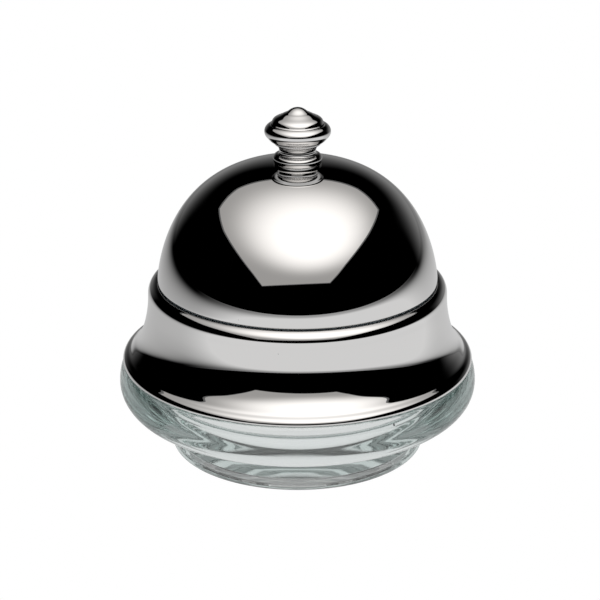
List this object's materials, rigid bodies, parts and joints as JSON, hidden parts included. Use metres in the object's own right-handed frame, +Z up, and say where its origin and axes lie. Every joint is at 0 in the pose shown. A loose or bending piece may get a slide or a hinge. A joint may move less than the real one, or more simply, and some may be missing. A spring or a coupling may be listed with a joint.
{
  "type": "dappen dish",
  "caption": "Lidded dappen dish: thick clear glass bowl, polished steel collar with a coved flange, and a lift-off domed steel lid with a turned finial knob.",
  "frame": {"origin": "centre of the ground foot ring on the table plane", "axes": "+Z up along the axis of the bowl, collar and lid"},
  "size_m": [0.072, 0.072, 0.0694],
  "materials": {
    "clear_glass": "clear pressed soda-lime glass, fire-polished, ground foot ring",
    "polished_steel": "mirror-polished stainless sheet and turned knob",
    "satin_steel": "plain rolled stainless sheet, not polished",
    "clear_silicone": "translucent moulded silicone",
    "white_plastic": "natural nylon",
    "zinc_hardware": "bright plated small hardware"
  },
  "bodies": {
    "bowl": {"glass_bowl": "clear_glass"},
    "gasket": {"rim_gasket": "clear_silicone"},
    "collar": {"collar": "polished_steel", "collar_sleeve": "satin_steel"},
    "seal": {"lid_seal": "clear_silicone"},
    "lid": {"dome_lid": "polished_steel", "lid_skirt": "satin_steel", "finial_knob": "polished_steel", "knob_washer": "white_plastic", "flat_washer": "zinc_hardware", "spring_washer": "zinc_hardware", "finial_screw": "zinc_hardware"}
  },
  "joints": [
    {"name": "collar_lift", "type": "slide", "parent": "bowl", "child": "gasket", "axis": [0, 0, 1], "range_m": [0, 0.04]},
    {"name": "collar_turn", "type": "hinge", "parent": "gasket", "child": "collar", "pos_m": [0, 0, 0.02], "axis": [0, 0, 1], "continuous": true},
    {"name": "lid_lift", "type": "slide", "parent": "collar", "child": "seal", "axis": [0, 0, 1], "range_m": [0, 0.05]},
    {"name": "lid_turn", "type": "hinge", "parent": "seal", "child": "lid", "pos_m": [0, 0, 0.033], "axis": [0, 0, 1], "continuous": true}
  ]
}
